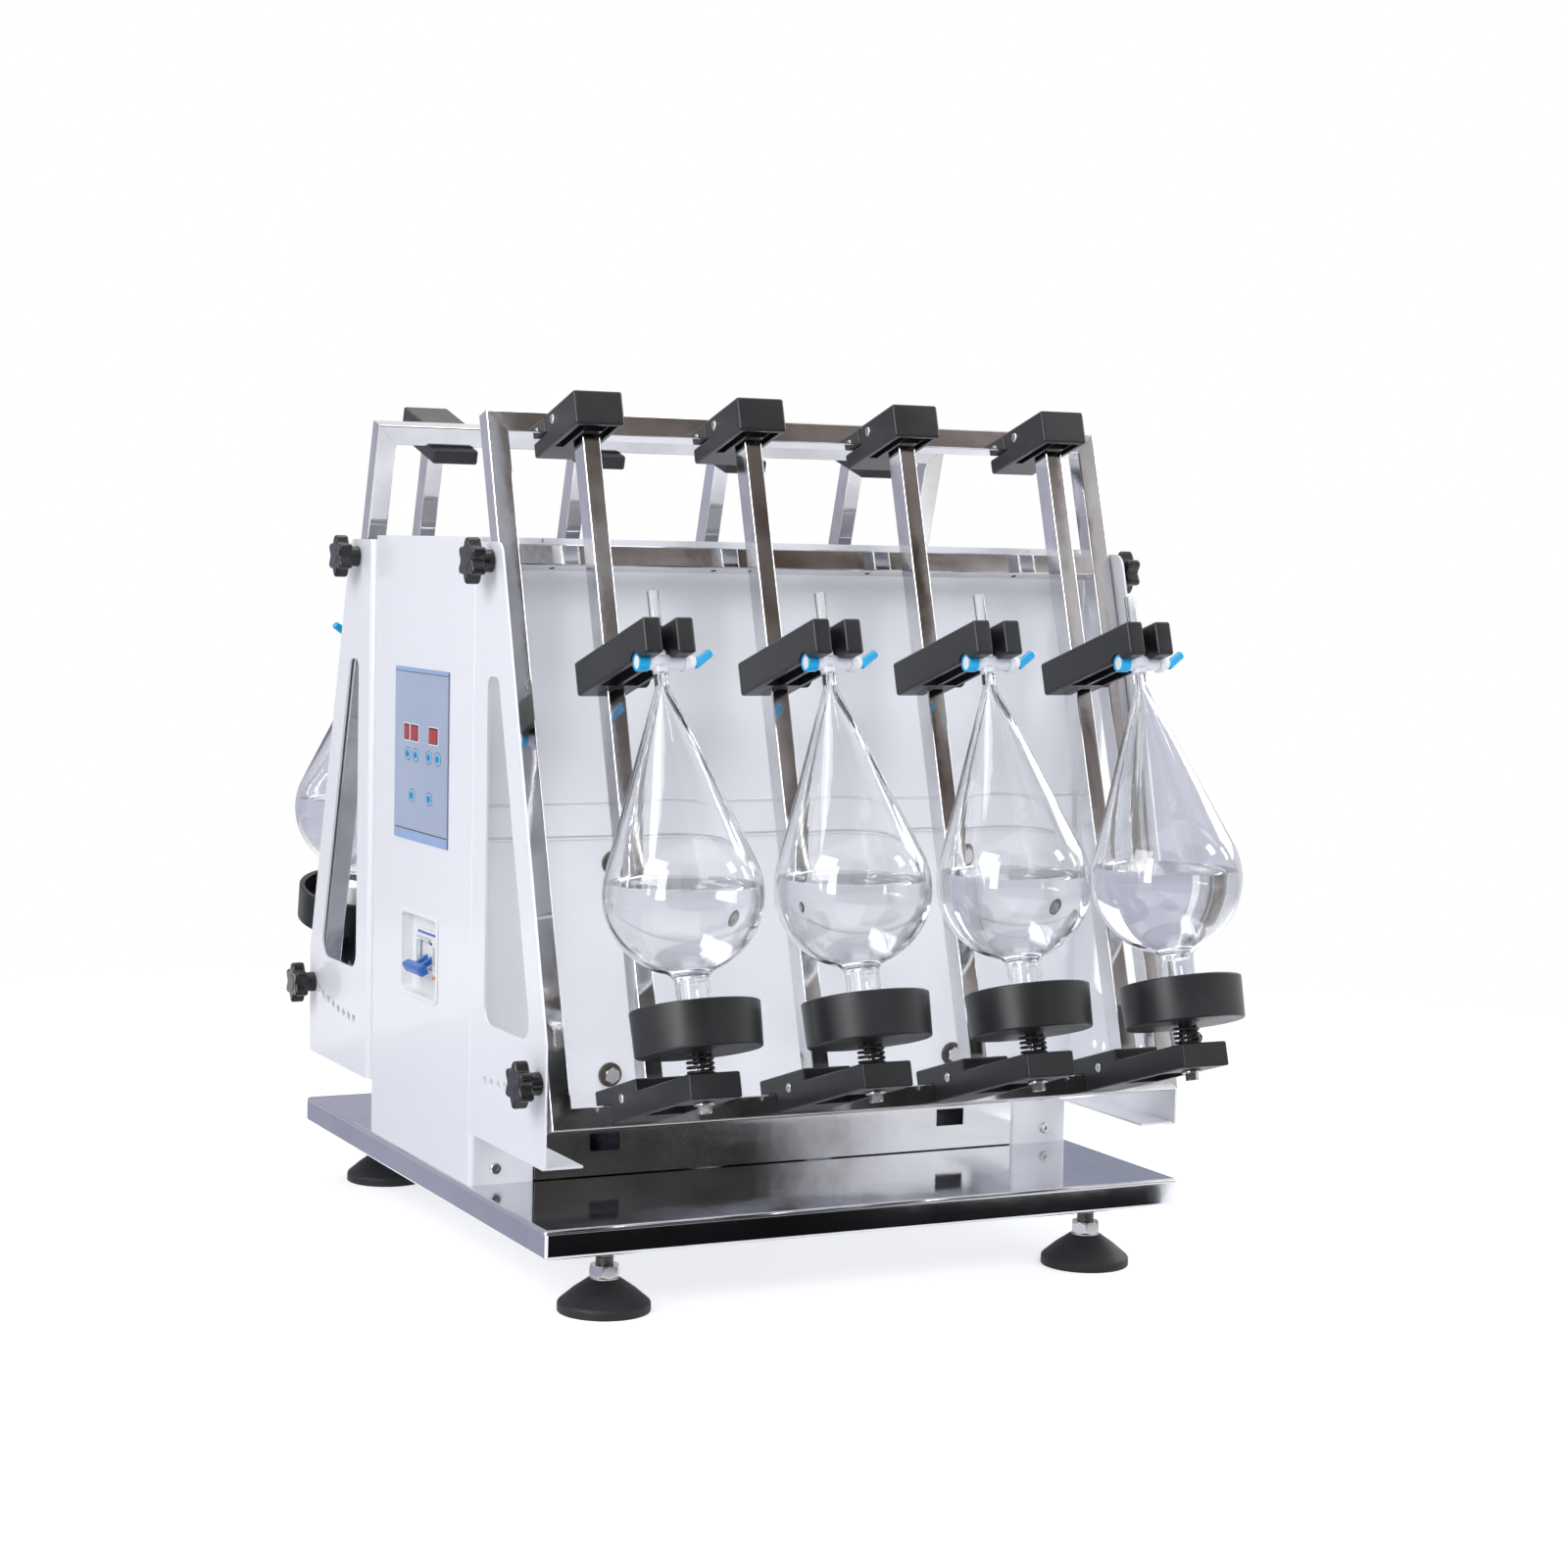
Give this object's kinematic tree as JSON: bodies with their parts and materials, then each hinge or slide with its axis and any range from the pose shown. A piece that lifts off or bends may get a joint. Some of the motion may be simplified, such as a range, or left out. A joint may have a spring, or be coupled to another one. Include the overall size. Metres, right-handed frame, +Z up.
{
  "type": "separatory funnel shaker",
  "caption": "Bench shaker whose tower lifts a carriage with two tilting racks of glass separatory funnels held between sliding clamp blocks and sprung cups.",
  "frame": {"origin": "floor level under the middle of the base", "axes": "X along the racks, Y from the front rack to the rear rack, Z up"},
  "size_m": [0.6656, 1.0076, 0.778],
  "materials": {
    "stainless": "polished stainless",
    "white_paint": "powder coat",
    "black_plastic": "satin black",
    "black_rubber": "black rubber",
    "glass": "clear glass",
    "blue_plastic": "blue",
    "film": "printed membrane",
    "white_plastic": "white",
    "machine_steel": "machined",
    "dark_steel": "blackened",
    "motor_paint": "grey enamel"
  },
  "bodies": {
    "base": {"base_plate": "stainless", "foot_pads": "black_rubber", "foot_studs": "machine_steel", "plinth_cover": "stainless", "left_column": "white_paint", "right_column": "white_paint", "top_cover": "white_paint", "control_panel": "film", "breaker": "white_plastic", "motor": "motor_paint", "guide_rods": "machine_steel"},
    "toggle": {"breaker_toggle": "blue_plastic"},
    "crank_body": {"crank": "machine_steel"},
    "link_body": {"con_rod": "machine_steel"},
    "carriage": {"front_shell": "white_paint", "rear_shell": "white_paint", "cross_bars": "machine_steel", "shell_bolts": "dark_steel"},
    "front_tilt": {"front_rack": "stainless", "front_bars": "stainless", "front_end_blocks": "black_plastic", "front_springs": "dark_steel", "front_funnels": "glass"},
    "rear_tilt": {"rear_rack": "stainless", "rear_bars": "stainless", "rear_end_blocks": "black_plastic", "rear_springs": "dark_steel", "rear_funnels": "glass"},
    "knob_body_1": {"knob_1": "black_plastic"},
    "clamp_body_1": {"clamp_1": "black_plastic"},
    "cup_body_1": {"cup_1": "black_plastic"},
    "stopcock_body_1": {"stopcock_1": "blue_plastic"},
    "knob_body_2": {"knob_2": "black_plastic"},
    "clamp_body_2": {"clamp_2": "black_plastic"},
    "cup_body_2": {"cup_2": "black_plastic"},
    "stopcock_body_2": {"stopcock_2": "blue_plastic"},
    "knob_body_3": {"knob_3": "black_plastic"},
    "clamp_body_3": {"clamp_3": "black_plastic"},
    "cup_body_3": {"cup_3": "black_plastic"},
    "stopcock_body_3": {"stopcock_3": "blue_plastic"},
    "knob_body_4": {"knob_4": "black_plastic"},
    "clamp_body_4": {"clamp_4": "black_plastic"},
    "cup_body_4": {"cup_4": "black_plastic"},
    "stopcock_body_4": {"stopcock_4": "blue_plastic"},
    "knob_body_5": {"knob_5": "black_plastic"},
    "clamp_body_5": {"clamp_5": "black_plastic"},
    "cup_body_5": {"cup_5": "black_plastic"},
    "stopcock_body_5": {"stopcock_5": "blue_plastic"},
    "knob_body_6": {"knob_6": "black_plastic"},
    "clamp_body_6": {"clamp_6": "black_plastic"},
    "cup_body_6": {"cup_6": "black_plastic"},
    "stopcock_body_6": {"stopcock_6": "blue_plastic"},
    "knob_body_7": {"knob_7": "black_plastic"},
    "clamp_body_7": {"clamp_7": "black_plastic"},
    "cup_body_7": {"cup_7": "black_plastic"},
    "stopcock_body_7": {"stopcock_7": "blue_plastic"},
    "knob_body_8": {"knob_8": "black_plastic"},
    "clamp_body_8": {"clamp_8": "black_plastic"},
    "cup_body_8": {"cup_8": "black_plastic"},
    "stopcock_body_8": {"stopcock_8": "blue_plastic"}
  },
  "joints": [
    {"name": "carriage_slide", "type": "slide", "parent": "base", "child": "carriage", "axis": [0, 0, 1], "range_m": [-0.02, 0.02]},
    {"name": "crank_spin", "type": "hinge", "parent": "base", "child": "crank_body", "pos_m": [0, 0.03, 0.195], "axis": [0, 1, 0], "continuous": true},
    {"name": "link_swing", "type": "hinge", "parent": "carriage", "child": "link_body", "pos_m": [0, -0.0075, 0.34366], "axis": [0, 1, 0], "range_deg": [0, 15.3]},
    {"name": "front_rack_tilt", "type": "hinge", "parent": "carriage", "child": "front_tilt", "pos_m": [0, -0.1823, 0.6314], "axis": [1, 0, 0], "range_deg": [0, 16.7]},
    {"name": "rear_rack_tilt", "type": "hinge", "parent": "carriage", "child": "rear_tilt", "pos_m": [0, 0.1823, 0.6314], "axis": [-1, 0, 0], "range_deg": [0, 16.7]},
    {"name": "breaker_toggle_swing", "type": "hinge", "parent": "base", "child": "toggle", "pos_m": [-0.29, 0, 0.269], "axis": [0, 1, 0], "range_deg": [0, 60]},
    {"name": "knob_1_turn", "type": "hinge", "parent": "carriage", "child": "knob_body_1", "pos_m": [-0.32, -0.1823, 0.6314], "axis": [-1, 0, 0], "continuous": true},
    {"name": "knob_2_turn", "type": "hinge", "parent": "carriage", "child": "knob_body_2", "pos_m": [-0.32, -0.31104, 0.2023], "axis": [-1, 0, 0], "continuous": true},
    {"name": "knob_3_turn", "type": "hinge", "parent": "carriage", "child": "knob_body_3", "pos_m": [0.32, -0.1823, 0.6314], "axis": [1, 0, 0], "continuous": true},
    {"name": "knob_4_turn", "type": "hinge", "parent": "carriage", "child": "knob_body_4", "pos_m": [0.32, -0.31104, 0.2023], "axis": [1, 0, 0], "continuous": true},
    {"name": "knob_5_turn", "type": "hinge", "parent": "carriage", "child": "knob_body_5", "pos_m": [-0.32, 0.1823, 0.6314], "axis": [-1, 0, 0], "continuous": true},
    {"name": "knob_6_turn", "type": "hinge", "parent": "carriage", "child": "knob_body_6", "pos_m": [-0.32, 0.31104, 0.2023], "axis": [-1, 0, 0], "continuous": true},
    {"name": "knob_7_turn", "type": "hinge", "parent": "carriage", "child": "knob_body_7", "pos_m": [0.32, 0.1823, 0.6314], "axis": [1, 0, 0], "continuous": true},
    {"name": "knob_8_turn", "type": "hinge", "parent": "carriage", "child": "knob_body_8", "pos_m": [0.32, 0.31104, 0.2023], "axis": [1, 0, 0], "continuous": true},
    {"name": "clamp_1_slide", "type": "slide", "parent": "front_tilt", "child": "clamp_body_1", "axis": [0, 0.2874, 0.9578], "range_m": [0, 0.15]},
    {"name": "cup_1_press", "type": "slide", "parent": "front_tilt", "child": "cup_body_1", "axis": [0, 0.2874, 0.9578], "range_m": [-0.008, 0], "stiffness_N_per_m": 2000, "springref_m": 0.006, "deforming": ["front_springs"]},
    {"name": "stopcock_1_turn", "type": "hinge", "parent": "front_tilt", "child": "stopcock_body_1", "pos_m": [-0.2295, -0.36142, 0.55286], "axis": [1, 0, 0], "continuous": true},
    {"name": "clamp_2_slide", "type": "slide", "parent": "front_tilt", "child": "clamp_body_2", "axis": [0, 0.2874, 0.9578], "range_m": [0, 0.15]},
    {"name": "cup_2_press", "type": "slide", "parent": "front_tilt", "child": "cup_body_2", "axis": [0, 0.2874, 0.9578], "range_m": [-0.008, 0], "stiffness_N_per_m": 2000, "springref_m": 0.006, "deforming": ["front_springs"]},
    {"name": "stopcock_2_turn", "type": "hinge", "parent": "front_tilt", "child": "stopcock_body_2", "pos_m": [-0.0765, -0.36142, 0.55286], "axis": [1, 0, 0], "continuous": true},
    {"name": "clamp_3_slide", "type": "slide", "parent": "front_tilt", "child": "clamp_body_3", "axis": [0, 0.2874, 0.9578], "range_m": [0, 0.15]},
    {"name": "cup_3_press", "type": "slide", "parent": "front_tilt", "child": "cup_body_3", "axis": [0, 0.2874, 0.9578], "range_m": [-0.008, 0], "stiffness_N_per_m": 2000, "springref_m": 0.006, "deforming": ["front_springs"]},
    {"name": "stopcock_3_turn", "type": "hinge", "parent": "front_tilt", "child": "stopcock_body_3", "pos_m": [0.0765, -0.36142, 0.55286], "axis": [1, 0, 0], "continuous": true},
    {"name": "clamp_4_slide", "type": "slide", "parent": "front_tilt", "child": "clamp_body_4", "axis": [0, 0.2874, 0.9578], "range_m": [0, 0.15]},
    {"name": "cup_4_press", "type": "slide", "parent": "front_tilt", "child": "cup_body_4", "axis": [0, 0.2874, 0.9578], "range_m": [-0.008, 0], "stiffness_N_per_m": 2000, "springref_m": 0.006, "deforming": ["front_springs"]},
    {"name": "stopcock_4_turn", "type": "hinge", "parent": "front_tilt", "child": "stopcock_body_4", "pos_m": [0.2295, -0.36142, 0.55286], "axis": [1, 0, 0], "continuous": true},
    {"name": "clamp_5_slide", "type": "slide", "parent": "rear_tilt", "child": "clamp_body_5", "axis": [0, -0.2874, 0.9578], "range_m": [0, 0.15]},
    {"name": "cup_5_press", "type": "slide", "parent": "rear_tilt", "child": "cup_body_5", "axis": [0, -0.2874, 0.9578], "range_m": [-0.008, 0], "stiffness_N_per_m": 2000, "springref_m": 0.006, "deforming": ["rear_springs"]},
    {"name": "stopcock_5_turn", "type": "hinge", "parent": "rear_tilt", "child": "stopcock_body_5", "pos_m": [0.2295, 0.36142, 0.55286], "axis": [-1, 0, 0], "continuous": true},
    {"name": "clamp_6_slide", "type": "slide", "parent": "rear_tilt", "child": "clamp_body_6", "axis": [0, -0.2874, 0.9578], "range_m": [0, 0.15]},
    {"name": "cup_6_press", "type": "slide", "parent": "rear_tilt", "child": "cup_body_6", "axis": [0, -0.2874, 0.9578], "range_m": [-0.008, 0], "stiffness_N_per_m": 2000, "springref_m": 0.006, "deforming": ["rear_springs"]},
    {"name": "stopcock_6_turn", "type": "hinge", "parent": "rear_tilt", "child": "stopcock_body_6", "pos_m": [0.0765, 0.36142, 0.55286], "axis": [-1, 0, 0], "continuous": true},
    {"name": "clamp_7_slide", "type": "slide", "parent": "rear_tilt", "child": "clamp_body_7", "axis": [0, -0.2874, 0.9578], "range_m": [0, 0.15]},
    {"name": "cup_7_press", "type": "slide", "parent": "rear_tilt", "child": "cup_body_7", "axis": [0, -0.2874, 0.9578], "range_m": [-0.008, 0], "stiffness_N_per_m": 2000, "springref_m": 0.006, "deforming": ["rear_springs"]},
    {"name": "stopcock_7_turn", "type": "hinge", "parent": "rear_tilt", "child": "stopcock_body_7", "pos_m": [-0.0765, 0.36142, 0.55286], "axis": [-1, 0, 0], "continuous": true},
    {"name": "clamp_8_slide", "type": "slide", "parent": "rear_tilt", "child": "clamp_body_8", "axis": [0, -0.2874, 0.9578], "range_m": [0, 0.15]},
    {"name": "cup_8_press", "type": "slide", "parent": "rear_tilt", "child": "cup_body_8", "axis": [0, -0.2874, 0.9578], "range_m": [-0.008, 0], "stiffness_N_per_m": 2000, "springref_m": 0.006, "deforming": ["rear_springs"]},
    {"name": "stopcock_8_turn", "type": "hinge", "parent": "rear_tilt", "child": "stopcock_body_8", "pos_m": [-0.2295, 0.36142, 0.55286], "axis": [-1, 0, 0], "continuous": true}
  ]
}
